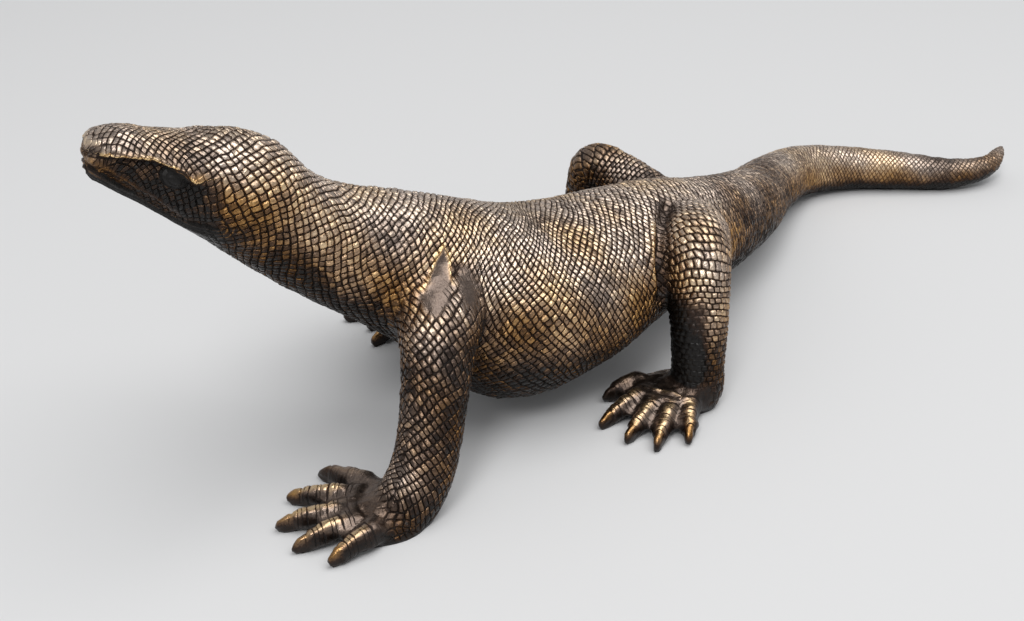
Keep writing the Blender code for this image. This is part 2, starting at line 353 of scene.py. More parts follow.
@dataclass(frozen=True)
class Foot:
    """A hand or a hind foot.

    Attributes:
        x: Middle of the palm, in mm.
        y: Middle of the palm, in mm.
        bearing: Direction that it points, in degrees.
        turn: Which way round its digits run, 1 or -1.
        fan: The angle of each digit from the bearing, in degrees, and its reach from the palm, in mm.
    """

    x: float
    y: float
    bearing: float
    turn: int
    fan: tuple

    knuckle_reach: float = 9.4
    knuckle_spread: float = 1.42
    wrinkle_gap: float = 1.35
    wrinkle_depth: float = 0.2
    wrinkle_width: float = 0.2
    claw_start: float = 0.72
    claw_slimming: float = 0.4
    side_slimming: float = 0.35
    thumb_share: float = 0.3
    digit_half_width: float = 2.5
    back_of_hand: tuple = (6.5, 10.0)
    reach: float = 27.0

    def point(self, angle: float, reach: float) -> np.ndarray:
        """A point on the ground at an angle from the bearing and a reach from the palm."""
        bearing = math.radians(self.bearing + self.turn * angle)
        return np.array([self.x + reach * math.cos(bearing), self.y + reach * math.sin(bearing)])

    def digits(self) -> list:
        """The knuckle and the tip of each digit, on the ground."""
        return [(self.point(angle * self.knuckle_spread, self.knuckle_reach), self.point(angle, reach))
                for angle, reach in self.fan]

    def near(self, places: np.ndarray) -> np.ndarray:
        """Whether points lie in the foot's reach."""
        away = np.hypot(places[:, 0] - self.x, places[:, 1] - self.y)
        return (away < self.reach) & (places[:, 2] < self.back_of_hand[1])

    def share(self, places: np.ndarray) -> np.ndarray:
        """How far points belong to the smooth back of the hand and the digits, from 0 to 1."""
        ahead = math.radians(self.bearing)
        forward = (places[:, 0] - self.x) * math.cos(ahead) + (places[:, 1] - self.y) * math.sin(ahead)
        low = 1 - smooth_step(*self.back_of_hand, places[:, 2])
        return smooth_step(-3.0, 2.5, forward) * low

    def read_digits(self, places: np.ndarray) -> tuple:
        """Find the digit that points lie on.

        Args:
            places: Points, in mm.

        Returns:
            The share of the way to its tip, the digit's length, the distance beside its line,
            and its number.
        """
        best = np.full(len(places), np.inf)
        share = np.zeros(len(places))
        length = np.ones(len(places))
        number = np.zeros(len(places))
        for i, (knuckle, tip) in enumerate(self.digits()):
            span = tip - knuckle
            size = np.linalg.norm(span)
            here = (places[:, :2] - knuckle) @ span / size**2
            beside = np.abs((places[:, :2] - knuckle) @ np.array([-span[1], span[0]]) / size)
            beside = np.where((here > -0.25) & (here < 1.2), beside, 50)
            closer = beside < best
            best = np.where(closer, beside, best)
            share = np.where(closer, here, share)
            length = np.where(closer, size, length)
            number = np.where(closer, i, number)
        return share, length, best, number

    def rings(self, places: np.ndarray) -> tuple:
        """Count the wrinkles cut across the digits.

        Args:
            places: Points, in mm.

        Returns:
            The count, a whole number on each wrinkle, and how far each point belongs to the
            wrinkled upper side of a digit, from 0 to 1.
        """
        share, length, beside, number = self.read_digits(places)
        run = share * length
        count = run / self.wrinkle_gap + 0.3 * np.sin(run * 1.7 + number * 2.4)
        on_nail = smooth_step(self.claw_start, self.claw_start + 0.04, share)
        along = smooth_step(-0.2, -0.05, share) * (1 - on_nail)
        across = 1 - smooth_step(self.digit_half_width - 0.6, self.digit_half_width + 0.4, beside)
        across *= np.where(number < 0.5, self.thumb_share, 1)
        return count, along * across * smooth_step(1.0, 2.2, places[:, 2])

    def relief(self, places: np.ndarray) -> np.ndarray:
        """Wrinkles across the digits, sinews on the back and a nail at each tip, as heights in mm."""
        share, length, beside, number = self.read_digits(places)
        count, wrinkled = self.rings(places)
        off = np.abs(count - np.round(count)) * self.wrinkle_gap
        depth = self.wrinkle_depth * (0.8 + 0.4 * np.sin(np.round(count) * 12.9 + number))
        relief = -depth * bell(off, self.wrinkle_width) * wrinkled
        on_digit = (1 - smooth_step(2.0, 3.2, beside)) * smooth_step(0.6, 1.6, places[:, 2])
        to_claw = (share - self.claw_start) * length
        relief -= 0.3 * bell(to_claw, 0.3) * on_digit
        relief -= smooth_step(-0.2, 0.6, to_claw) * self.claw_slimming * smooth_step(0.2, 1.6, beside)
        between = smooth_step(1.4, 3.0, beside) * smooth_step(-0.6, 0.1, share)
        between *= 1 - smooth_step(0.3, 0.7, share)
        relief -= 0.5 * between * smooth_step(2.0, 3.5, places[:, 2])
        sides = smooth_step(0.7, 2.0, beside) * smooth_step(0.0, 0.3, share) * (beside < 4)
        relief -= self.side_slimming * sides
        return relief + 0.12 * wander(places, 2.6, 81) * self.share(places)

    def nails(self, places: np.ndarray) -> np.ndarray:
        """How far points lie on a nail, from 0 to 1."""
        share, length, beside, _ = self.read_digits(places)
        return smooth_step(0.0, 0.5, (share - self.claw_start) * length) * (beside < 4)

    def digit_tops(self, places: np.ndarray) -> np.ndarray:
        """How far points lie on the rubbed top of a digit, from 0 to 1."""
        share, _, beside, number = self.read_digits(places)
        over = (1 - smooth_step(0.5, 1.6, beside)) * np.where(number < 0.5, self.thumb_share, 1)
        return over * smooth_step(1.4, 3.0, places[:, 2]) * smooth_step(-0.1, 0.2, share)


@dataclass(frozen=True)
class Head:
    """The face. Its lines run on both sides: x, distance from the head's middle plane, and z, in mm."""

    middle_y: float = -4.6
    brow: tuple = (
        (-149, 5.4, 87), (-147.4, 6.6, 86.9), (-145.5, 7.4, 86.6), (-143.2, 7.8, 86), (-140.2, 8.2, 85),
        (-137.5, 8.8, 83.4), (-135.6, 9.8, 81.5), (-134.1, 9.7, 79.7), (-132.9, 9.6, 78.7),
    )
    knob: tuple = (-132.2, 9.4, 79.4)
    mouth: tuple = (
        (-151.1, 1.6, 84.4), (-148.6, 5.4, 82.4), (-145.4, 5.9, 79.4), (-143.5, 5.8, 77.5),
        (-139.4, 5.6, 73.4), (-134.8, 6, 69.4), (-129.5, 8.2, 67.4),
    )
    lip: tuple = (
        (-151, 2.6, 85.3), (-148.6, 6, 84.4), (-143.9, 7.1, 79.9), (-139.7, 6.8, 75.9), (-134.7, 5.9, 70.6),
        (-129, 8.3, 68.3),
    )
    nostril: tuple = ((-151, 0.6, 86.2), (-150.3, 2.7, 87.2), (-149.2, 4.7, 87.3))
    nose_pad: tuple = ((-150.4, 0, 88), (-149.8, 1.8, 88.5), (-148.9, 3.6, 88.6))
    eye: tuple = (-136.7, 9.4, 80.3)
    eye_lean: float = -38.0
    eye_half_length: float = 3.0
    eye_half_height: float = 2.0
    back: float = -106.0
    notch_gap: float = 0.85
    jaw_gap: float = 1.15
    crown: tuple = (-122.2, 0.0, 84.3)
    crown_reach: float = 6.5
    crown_rise: float = 1.45

    def near(self, places: np.ndarray) -> np.ndarray:
        """Whether points lie on the head."""
        return places[:, 0] < self.back

    def mirrored(self, places: np.ndarray) -> np.ndarray:
        """Fold both sides of the head onto one."""
        folded = places.copy()
        folded[:, 1] = np.abs(places[:, 1] - self.middle_y)
        return folded

    def line_height(self, x: np.ndarray, line: tuple) -> np.ndarray:
        """The height of one of the face's lines at x."""
        table = np.array(line)
        return np.interp(x, table[:, 0], table[:, 2])

    def above(self, places: np.ndarray, line: tuple) -> np.ndarray:
        """How far points lie above one of the face's lines, in mm, less than 0 below it."""
        folded = self.mirrored(places)
        side = np.where(folded[:, 2] > self.line_height(folded[:, 0], line), 1, -1)
        return side * polyline_distance(folded, line)

    def cheek(self, places: np.ndarray) -> np.ndarray:
        """How far points lie on the sunk plane between brow and lip, from 0 to 1."""
        folded = self.mirrored(places)
        x, z = folded[:, 0], folded[:, 2]
        below = smooth_step(0.2, 1.0, self.line_height(x, self.brow) - z)
        above = smooth_step(-0.2, 0.6, z - self.line_height(x, self.lip))
        along = smooth_step(-150.6, -148.6, x) * (1 - smooth_step(-132.0, -128.0, x))
        return below * above * along * smooth_step(2.5, 4.5, folded[:, 1])

    def jaw(self, places: np.ndarray) -> np.ndarray:
        """How far points lie below the mouth, from 0 to 1."""
        folded = self.mirrored(places)
        below = smooth_step(0.0, 0.7, self.line_height(folded[:, 0], self.mouth) - folded[:, 2])
        return below * (1 - smooth_step(-133.0, -124.0, folded[:, 0]))

    def eye_rings(self, places: np.ndarray) -> np.ndarray:
        """Distance from the eye's middle as a share of its oval outline."""
        folded = self.mirrored(places)
        lean = math.radians(self.eye_lean)
        x, z = folded[:, 0] - self.eye[0], folded[:, 2] - self.eye[2]
        long = (x * math.cos(lean) + z * math.sin(lean)) / self.eye_half_length
        high = (z * math.cos(lean) - x * math.sin(lean)) / self.eye_half_height
        beside = (folded[:, 1] - self.eye[1]) / 6.0
        return np.sqrt(long**2 + high**2 + beside**2)

    def relief(self, places: np.ndarray) -> np.ndarray:
        """The brows, eyes, lips, jaw lines and nose, as heights in mm."""
        folded = self.mirrored(places)
        relief = 0.55 * line_share(folded, self.brow, 0.42)
        under_brow = tuple((x - 0.3, y, z - 1.1) for x, y, z in self.brow)
        relief -= 0.6 * line_share(folded, under_brow, 0.55)
        relief += self.crown_rise * bell(np.linalg.norm(folded - self.crown, axis=1), self.crown_reach)
        relief += 0.45 * bell(np.linalg.norm(folded - self.knob, axis=1), 1.5)
        relief -= 0.55 * line_share(folded, self.mouth, 0.34)
        relief += 0.22 * line_share(folded, self.lip, 0.4)
        relief -= 0.25 * self.cheek(places)
        drop = polyline_distance(folded, self.mouth)
        ridges = np.cos(drop * 2 * math.pi / 1.25) * (1 - smooth_step(3.2, 5.0, drop))
        relief -= 0.16 * ridges * self.jaw(places)
        relief -= 0.7 * line_share(folded, self.nostril, 0.42)
        relief += 0.3 * line_share(folded, self.nose_pad, 0.6)
        rings = self.eye_rings(places)
        relief -= 0.32 * bell(rings - 1.0, 0.13)
        relief -= 0.22 * bell(rings - 0.66, 0.11)
        relief += 0.12 * np.clip(1 - rings**2, 0, 1)
        return relief

    def bright(self, places: np.ndarray) -> np.ndarray:
        """How far points lie on the rubbed brows, nose pad and lips, from 0 to 1."""
        folded = self.mirrored(places)
        shine = line_share(folded, self.brow, 0.45)
        shine = np.maximum(shine, 0.9 * bell(np.linalg.norm(folded - self.knob, axis=1), 1.1))
        shine = np.maximum(shine, 0.6 * line_share(folded, self.nose_pad, 0.6))
        return np.maximum(shine, 0.12 * line_share(folded, self.lip, 0.35))

    def dark(self, places: np.ndarray) -> np.ndarray:
        """How dark the face is painted, from 0 to 1: dark patina in the eyes, nostrils and mouth line, and
        partly patina and partly painted shade on the cheeks under the brow and on the jaw under the mouth.
        """
        folded = self.mirrored(places)
        shade = np.maximum(0.55 * self.cheek(places), 0.45 * self.jaw(places))
        shade = np.maximum(shade, 1 - smooth_step(1.0, 1.3, self.eye_rings(places)))
        shade = np.maximum(shade, line_share(folded, self.nostril, 0.7))
        return np.maximum(shade, line_share(folded, self.mouth, 0.4))

    def smooth(self, places: np.ndarray) -> np.ndarray:
        """How far the scales give way to the face's own forms, from 0 to 1."""
        folded = self.mirrored(places)
        lines = line_share(folded, self.brow, 0.6)
        for line, width in ((self.mouth, 0.6), (self.lip, 0.5), (self.nose_pad, 0.7), (self.nostril, 0.6)):
            lines = np.maximum(lines, line_share(folded, line, width))
        lines = np.maximum(lines, 1 - smooth_step(0.95, 1.15, self.eye_rings(places)))
        lines = np.maximum(lines, bell(np.linalg.norm(folded - self.knob, axis=1), 1.4))
        return np.maximum(lines, self.jaw(places) * 0.85)


@dataclass(frozen=True)
class BarePatch:
    """A smooth place on the left flank, with a raised rim: its outline in x and z, in mm."""

    outline: tuple
    rim: tuple
    floor: float
    soft: float = 0.5

    def share(self, places: np.ndarray, outward: np.ndarray) -> np.ndarray:
        """How far points lie inside the patch, from 0 to 1."""
        corners = np.array(self.outline)
        x, z = places[:, 0], places[:, 2]
        inside = np.zeros(len(places), bool)
        for (x0, z0), (x1, z1) in zip(corners, np.roll(corners, -1, axis=0)):
            crosses = (z0 > z) != (z1 > z)
            rise = z1 - z0 if abs(z1 - z0) > 1e-9 else 1e-9
            inside ^= crosses & (x < (x1 - x0) * (z - z0) / rise + x0)
        edge = polyline_distance(np.stack([x, z], axis=1), self.outline + self.outline[:1], 1)
        signed = np.where(inside, edge, -edge)
        return smooth_step(-self.soft, self.soft, signed) * (outward[:, 1] < 0.2) * (places[:, 1] < -10)

    def rim_distance(self, places: np.ndarray) -> np.ndarray:
        """How far points lie from the raised rim, in mm, in side view."""
        flat = np.stack([places[:, 0], places[:, 2]], axis=1)
        distance = np.full(len(places), np.inf)
        for line in self.rim:
            distance = np.minimum(distance, polyline_distance(flat, line, 1))
        return np.where(places[:, 1] < -10, distance, np.inf)


@dataclass(frozen=True)
class PatinatedBronze:
    """Lost-wax cast bronze under a dark liver-of-sulphur patina, rubbed back by hand.

    The patina stays brown-black in the grooves and turns a satin lilac grey on broad smooth skin. The
    tops of the scales show the metal, from brown to pale gold, and each is a little different.

    Attributes:
        warm: Colours from the darkest tone to the brightest where the metal is golden.
        cool: The same where it is greyish.
        noises: Wave length in mm and detail of the blotches, the mottle, the flecks and the pits.
        bare_calm: How much of the mottle and the blotches the bare skin loses.
    """

    warm: tuple = ("#0c0704", "#3a2514", "#7a5936", "#b68c58", "#e6c48f")
    cool: tuple = ("#0d0907", "#3b2f29", "#7c6e65", "#af9e91", "#e2d1c2")
    pad_roughness: float = 0.33
    groove_roughness: float = 0.68
    groove_tone: float = 0.24
    patina_metallic: float = 0.4
    metal_tone: float = 0.45
    noises: tuple = ((13.0, 2.0), (1.3, 3.0), (0.45, 2.0), (0.3, 1.0))
    scale_contrast: float = 0.36
    blotch_contrast: float = 0.42
    mottle_contrast: float = 0.55
    fleck_contrast: float = 0.4
    bare_calm: tuple = (0.42, 0.2)
    rim_gain: float = 0.5
    gilt_gain: float = 0.58
    line_gain: float = 0.6
    groove_depth: float = 0.12
    dimple_depth: float = 0.28
    line_height: float = 0.15
    lean: float = 0.34
    dome: float = 0.12
    bevel: float = 0.26
    pit_depth: float = 0.04


@dataclass(frozen=True)
class WearAndPaintedLight:
    """The tone of the bronze, from 0, black, to 1, bright metal: partly how far the patina is rubbed back and
    partly painted light: a painted highlight on upper sides, and painted shade on undersides, lower limbs,
    recesses and creases. Places are in mm.

    Attributes:
        ground: The tone on the side of the head.
        neck: The x from which to which the head passes into the neck.
        neck_gain: What all behind the head adds.
        along: Steps from the hips to the tail tip: what each adds, and the x where it starts and ends.
        upper: What upper sides add, partly rubbed metal and partly painted highlight.
        lower: What undersides take away on the head, and what they take away besides behind it, partly
            darker patina and partly painted shade.
        drift: How far the tone wanders.
        forearm: What the forearms take away, partly darker patina and partly painted shade, and the
            heights between which that fades.
        shin: The same for the shins.
        nape_highlight: A painted highlight on the neck's upper side behind the head: what it adds, its x
            and its reach.
        hollow_shade: Painted shade in the dip before the left shoulder: what it takes away, its place
            and its reach.
        thigh_top: What the upper sides of the legs add, partly rubbed metal and partly painted highlight.
        far_leg: What the leg on the far side, at y above 0, takes away.
        inner_shin_patina_and_shade: What the front of the lower hind leg takes away, partly dark patina
            and partly painted shade.
        face: What the face's dark places take away, partly dark patina and partly painted shade.
        crease: What the creases take away, partly dark patina and partly painted shade.
        arm_seam_shade: Painted shade where the arms meet the trunk: what it takes away.
        hand: The tone on the sides of the hands, a painted shade, and what their upper sides add, a
            painted highlight.
        bare: The tone of the bare patches.
    """

    ground: float = 0.47
    neck: tuple = (-134, -120)
    neck_gain: float = 0.14
    along: tuple = ((-0.44, -5, 20), (0.48, 50, 80), (-0.4, 105, 130))
    upper: float = 0.4
    lower: tuple = (0.42, 0.37)
    drift: float = 0.12
    forearm: tuple = (0.48, 30, 52)
    shin: tuple = (0.3, 16, 27)
    nape_highlight: tuple = (0.08, -114, 14)
    hollow_shade: tuple = (0.28, (-91.0, -18.0, 44.0), 7.0)
    thigh_top: float = 0.02
    far_leg: float = 0.38
    inner_shin_patina_and_shade: float = 0.75
    face: float = 0.42
    crease: float = 1.0
    arm_seam_shade: float = 1.4
    hand: tuple = (0.08, 0.42)
    bare: float = 0.47


@dataclass(frozen=True)
class StudioFloor:
    """Matte pale grey paper, lit softly from above."""

    colour: str = "#dcdcdc"
    roughness: float = 0.9
    specular: float = 0.2
    half_size: float = 2500.0
    sides: int = 96
    drop: float = 0.05


def linear_colour(code: str) -> tuple:
    """Turn an sRGB hex colour into the linear one that shaders read.

    Args:
        code: The colour, such as "#c9a26c".

    Returns:
        Red, green, blue and an alpha of 1.
    """
    parts = [int(code[i : i + 2], 16) / 255 for i in (1, 3, 5)]
    return tuple(p / 12.92 if p <= 0.04045 else ((p + 0.055) / 1.055) ** 2.4 for p in parts) + (1.0,)


def add_node(
    tree: bpy.types.NodeTree, kind: str, links: dict | None = None, **settings: object
) -> bpy.types.Node:
    """Add a shader node.

    Args:
        tree: The tree that it goes into.
        kind: Its type, without the word ShaderNode.
        links: For each input, by name or number, the socket that feeds it or the value it has.
        settings: The node's own properties.

    Returns:
        The node.
    """
    node = tree.nodes.new("ShaderNode" + kind)
    for name, value in settings.items():
        setattr(node, name, value)
    for name, value in (links or {}).items():
        if isinstance(value, bpy.types.NodeSocket):
            tree.links.new(value, node.inputs[name])
        else:
            node.inputs[name].default_value = value
    return node


@dataclass(frozen=True)
class ScaledPart:
    """A part of the body that carries scales of its own kind.

    Attributes:
        name: What it is called, in lower case.
        lines: Its centre lines, one for each limb.
        scaling: Its scales.
    """

    name: str
    lines: tuple
    scaling: Scaling

    def read(self, places: np.ndarray) -> Reading:
        """Find where points lie along and around the nearest of the part's lines."""
        readings = [line.read(places) for line in self.lines]
        nearest = np.argmin([reading.closeness for reading in readings], axis=0)
        fields = zip(*(vars(reading).values() for reading in readings))
        return Reading(*(
            np.choose(nearest.reshape((-1,) + (1,) * (field[0].ndim - 1)), field) for field in fields
        ))

    def groove_depth(self, along: np.ndarray) -> np.ndarray:
        """The depth of the grooves at a distance along the line, in mm."""
        table = np.array(self.scaling.pitch)
        return np.interp(along, table[:, 0], table[:, 3])


@dataclass
class Nodes:
    """A material's node tree, with short ways to add to it."""

    tree: bpy.types.NodeTree

    def stored(self, name: str) -> tuple:
        """Read the three values that the mesh stores under a name."""
        vector = add_node(self.tree, "Attribute", attribute_name=name).outputs["Vector"]
        return tuple(add_node(self.tree, "SeparateXYZ", {0: vector}).outputs)

    def work_out(self, operation: str, *values: object) -> Socket:
        """Work out one operation on sockets or numbers."""
        return add_node(self.tree, "Math", dict(enumerate(values)), operation=operation).outputs[0]

    def add_up(self, *terms: tuple) -> Socket:
        """Add values, each times a factor, which can be a value too."""
        total = 0.0
        for value, factor in terms:
            total = self.work_out("MULTIPLY_ADD", value, factor, total)
        return total

    def clamp(self, value: Socket) -> Socket:
        """Keep a value from 0 to 1."""
        return add_node(self.tree, "Clamp", {0: value}).outputs[0]

    def blend(self, value: Socket, start: float, end: float, full: float = 1.0) -> Socket:
        """Go from one number to another while a value goes from 0 to full."""
        limits = {"Value": value, "From Max": full, "To Min": start, "To Max": end}
        return add_node(self.tree, "MapRange", limits).outputs["Result"]

    def noise(self, place: Socket, wave: float, detail: float) -> Socket:
        """Make a noise around 0 with waves of a length in mm."""
        settings = {"Vector": place, "Scale": 1 / (wave * MM), "Detail": detail, "Roughness": 0.6}
        return self.work_out("ADD", add_node(self.tree, "TexNoise", settings).outputs["Fac"], -0.5)

    def band(self, value: Socket, low: float | None, high: float | None, soft: float) -> Socket:
        """Give 1 where a value lies between two limits, either of which can be left out.

        Args:
            value: The value.
            low: The lower limit.
            high: The upper limit.
            soft: The width over which the result goes from 0 to 1.

        Returns:
            The result's socket.
        """
        result = None
        for limit, start in ((low, 0.0), (high, 1.0)):
            if limit is None:
                continue
            ends = {"From Min": limit - soft / 2, "From Max": limit + soft / 2}
            ends |= {"Value": value, "To Min": start, "To Max": 1 - start}
            step = add_node(self.tree, "MapRange", ends, interpolation_type="SMOOTHSTEP").outputs["Result"]
            result = step if result is None else self.work_out("MULTIPLY", result, step)
        return result

    def lines(self, *rows: tuple) -> Socket:
        """Add up bands, each a row of value, lower limit, upper limit, softness and weight."""
        return self.add_up(*((self.band(*row[:4]), row[4]) for row in rows))

    def ramp(self, tone: Socket, colours: tuple) -> Socket:
        """Turn a tone from 0 to 1 into a colour between evenly spaced ones."""
        ramp = add_node(self.tree, "ValToRGB", {0: tone})
        elements = ramp.color_ramp.elements
        for i, code in enumerate(colours):
            place = i / (len(colours) - 1)
            stop = elements[i] if i < 2 else elements.new(place)
            stop.position = place
            stop.color = linear_colour(code)
        return ramp.outputs["Color"]


@dataclass(frozen=True)
class BronzeShader:
    """The bronze's material, drawn from the counts, distances and tones that the mesh stores.

    Attributes:
        finish: The bronze.
        head: The face.
        parts: The scaled parts of the body.
    """

    finish: PatinatedBronze
    head: Head
    parts: tuple

    def material(self) -> bpy.types.Material:
        """Mix patinated bronze: dark grooves, satin bare skin, and rubbed scale tops that differ."""
        finish = self.finish
        material = bpy.data.materials.new("patinated_cast_bronze")
        material.use_nodes = True
        tree = material.node_tree
        tree.nodes.clear()
        nodes = Nodes(tree)
        place = add_node(tree, "TexCoord").outputs["Object"]
        # The stored tone carries painted highlight and painted shade, and warm a painted reflection, besides
        # the rubbed patina.
        tone, warm, gilt = nodes.stored("finish")
        blotch, mottle, fleck, pits = (nodes.noise(place, *noise) for noise in finish.noises)
        drawn = [self._scales(nodes, part, fleck) for part in self.parts]
        top, rim, chance, lean = (nodes.add_up(*((socket, 1.0) for socket in kind)) for kind in zip(*drawn))
        cut, bare = self._digits(nodes, mottle)
        bright, dark = self._face(nodes, place)
        cover = nodes.clamp(nodes.add_up((top, 1.0), (bare, 1.0), (cut, -1.0), (dark, -1.0)))
        deep = nodes.add_up((tone, -0.8), (rim, 0.5))
        bare_mottle = nodes.work_out("MULTIPLY", mottle, bare)
        raised = nodes.add_up(
            (tone, 1.0),
            (chance, finish.scale_contrast),
            (blotch, finish.blotch_contrast),
            (mottle, finish.mottle_contrast),
            (fleck, finish.fleck_contrast),
            (nodes.work_out("MULTIPLY", rim, deep), finish.rim_gain),
            (gilt, finish.gilt_gain),
            (bright, finish.line_gain),
            (bare_mottle, -finish.bare_calm[0]),
            (nodes.work_out("MULTIPLY", blotch, bare), -finish.bare_calm[1]),
        )
        lit = nodes.work_out("MULTIPLY", raised, nodes.blend(cover, finish.groove_tone, 1.0))
        hue = nodes.add_up((warm, 1.0), (gilt, 0.8), (bright, 0.7), (mottle, 0.5), (chance, 0.25))
        ramps = {0: nodes.clamp(hue), 6: nodes.ramp(lit, finish.cool), 7: nodes.ramp(lit, finish.warm)}
        colour = add_node(tree, "Mix", ramps, data_type="RGBA").outputs[2]
        rough = nodes.blend(cover, finish.groove_roughness, finish.pad_roughness)
        rough = nodes.add_up((rough, 1.0), (mottle, 0.3), (fleck, 0.2), (gilt, -0.04))
        height = nodes.add_up(
            (cover, finish.groove_depth),
            (lean, finish.lean),
            (bright, finish.line_height),
            (pits, finish.pit_depth),
            (mottle, finish.dimple_depth),
            (bare_mottle, -0.7 * finish.dimple_depth),
        )
        bump = add_node(tree, "Bump", {"Height": height, "Distance": MM, "Strength": 1.0}).outputs["Normal"]
        metallic = nodes.blend(lit, finish.patina_metallic, 1.0, finish.metal_tone)
        looks = {"Base Color": colour, "Metallic": metallic, "Roughness": rough, "Normal": bump}
        surface = add_node(tree, "BsdfPrincipled", looks)
        add_node(tree, "OutputMaterial", {"Surface": surface.outputs["BSDF"]})
        return material

    def _scales(self, nodes: Nodes, part: ScaledPart, ragged: Socket) -> tuple:
        """Redraw a part's scales in shader nodes, from the counts stored on the mesh.

        Args:
            nodes: The material's nodes.
            part: The part.
            ragged: A fine noise that frays the edges of the grooves.

        Returns:
            Sockets for how far a point is on a scale, how far it is on a scale's rim, a random number
            for each scale and how high a scale's leaning top is, all times the part's share.
        """
        scaling = part.scaling
        edge = scaling.groove_edge
        first, second, share = nodes.stored(part.name)
        ring = nodes.work_out("FLOOR", first)
        if scaling.weave is Weave.BRICKS:
            second = nodes.add_up((nodes.work_out("FLOORED_MODULO", ring, 2.0), 0.5), (second, 1.0))
        counts = {0: ring, 1: nodes.work_out("FLOOR", second), 2: float(scaling.seed)}
        cell = add_node(nodes.tree, "CombineXYZ", counts).outputs[0]
        noise = add_node(nodes.tree, "TexWhiteNoise", {"Vector": cell}, noise_dimensions="3D")
        chances = add_node(nodes.tree, "SeparateColor", {0: noise.outputs["Color"]}).outputs
        powers = []
        leans = []
        for count, chance in ((first, chances[0]), (second, chances[1])):
            off = nodes.work_out("MULTIPLY_ADD", nodes.work_out("FRACT", count), 2.0, -1.0)
            leans.append((off, nodes.work_out("ADD", chance, -0.3)))
            powers.append(nodes.work_out("POWER", nodes.work_out("ABSOLUTE", off), scaling.corner))
        total = nodes.work_out("ADD", *powers)
        outline = nodes.work_out("POWER", total, 1 / scaling.corner)
        outline = nodes.add_up((ragged, 0.35), (outline, 1.0))
        dome = (total, -self.finish.dome / self.finish.lean)
        bevel = (nodes.band(outline, None, edge - 0.08, 0.34), self.finish.bevel / self.finish.lean)
        results = (
            nodes.band(outline, None, edge, 0.12),
            nodes.band(outline, edge - 0.28, edge, 0.12),
            nodes.work_out("ADD", chances[2], -0.5),
            nodes.add_up(*leans, dome, bevel),
        )
        return tuple(nodes.work_out("MULTIPLY", result, share) for result in results)

    @staticmethod
    def _digits(nodes: Nodes, mottle: Socket) -> tuple:
        """Draw the wrinkles across the digits.

        Args:
            nodes: The material's nodes.
            mottle: A noise that breaks the wrinkles up.

        Returns:
            Sockets for how far a point is in a wrinkle and how far it is on skin without scales.
        """
        cuts, share, bare = nodes.stored("cuts")
        beside = nodes.add_up((cuts, 1.0), (nodes.work_out("ROUND", cuts), -1.0))
        off = nodes.add_up((nodes.work_out("ABSOLUTE", beside), 1.0), (mottle, 0.25))
        return nodes.work_out("MULTIPLY", nodes.band(off, None, 0.08, 0.1), share), bare

    def _face(self, nodes: Nodes, place: Socket) -> tuple:
        """Draw the brow, the mouth's lines and the eye's rings.

        Args:
            nodes: The material's nodes.
            place: The point's place.

        Returns:
            Sockets for how bright the face's lines are and how dark they are.
        """
        brow, mouth, eye = nodes.stored("face")
        x = add_node(nodes.tree, "SeparateXYZ", {0: place}).outputs[0]
        turn = nodes.work_out("MULTIPLY", x, 2 * math.pi / (self.head.notch_gap * MM))
        ridge = nodes.band(brow, -0.2, 0.55, 0.2)
        notched = nodes.add_up((nodes.work_out("SINE", turn), 0.2), (ridge, 0.8))
        turn = nodes.work_out("MULTIPLY", mouth, 2 * math.pi / self.head.jaw_gap)
        jaw = nodes.work_out("MULTIPLY", nodes.work_out("COSINE", turn), nodes.band(mouth, -4.5, -0.4, 0.6))
        light = nodes.lines(
            (mouth, 0.35, 0.6, 0.15, 0.25),
            (eye, 1.1, 1.22, 0.1, 0.3),
            (jaw, 0.55, None, 0.5, 0.5),
        )
        # Under the brow, dark patina in the groove together with a painted shadow of the overhanging brow;
        # the mouth, the jaw's grooves and the eye are dark patina.
        dark = nodes.lines(
            (brow, -1.3, -0.25, 0.4, 0.85),
            (mouth, -0.22, 0.22, 0.15, 1.0),
            (jaw, None, -0.35, 0.4, 0.7),
            (eye, 0.9, 1.06, 0.08, 0.9),
            (eye, 0.52, 0.66, 0.08, 0.6),
            (eye, None, 0.9, 0.3, 0.5),
        )
        return nodes.add_up((ridge, notched), (light, 1.0)), dark


@dataclass
class Survey:
    """What every point of the skin belongs to.

    Attributes:
        cells: For each scaled part, the cells that the points lie in.
        shares: For each scaled part, how far the points belong to it.
        depths: For each scaled part, the depth of its grooves there, in mm.
        scaled: How far a point carries scales at all.
    """

    cells: list
    shares: list
    depths: list
    scaled: np.ndarray


@dataclass(frozen=True)
class Fold:
    """A crease in the skin with a raised edge beside it, as points in mm."""

    crease: tuple
    edge: tuple
    width: float
    depth: float
    rise: float

    def near(self, places: np.ndarray) -> np.ndarray:
        """Whether points lie in the fold's reach."""
        corners = np.array(self.crease + self.edge)
        within = (places > corners.min(0) - 5 * self.width) & (places < corners.max(0) + 5 * self.width)
        return within.all(1)

    def relief(self, places: np.ndarray) -> np.ndarray:
        """The height that the fold gives the skin, in mm."""
        fall = self.depth * line_share(places, self.crease, self.width)
        return self.rise * line_share(places, self.edge, self.width * 0.8) - fall

    def shade(self, places: np.ndarray) -> np.ndarray:
        """How dark the crease is painted, from 0 to 1: partly dark patina and partly painted shade."""
        return line_share(places, self.crease, self.width * 1.4)

    def shine(self, places: np.ndarray) -> np.ndarray:
        """How far the raised edge is rubbed bright, from 0 to 1."""
        return line_share(places, self.edge, self.width * 0.55)


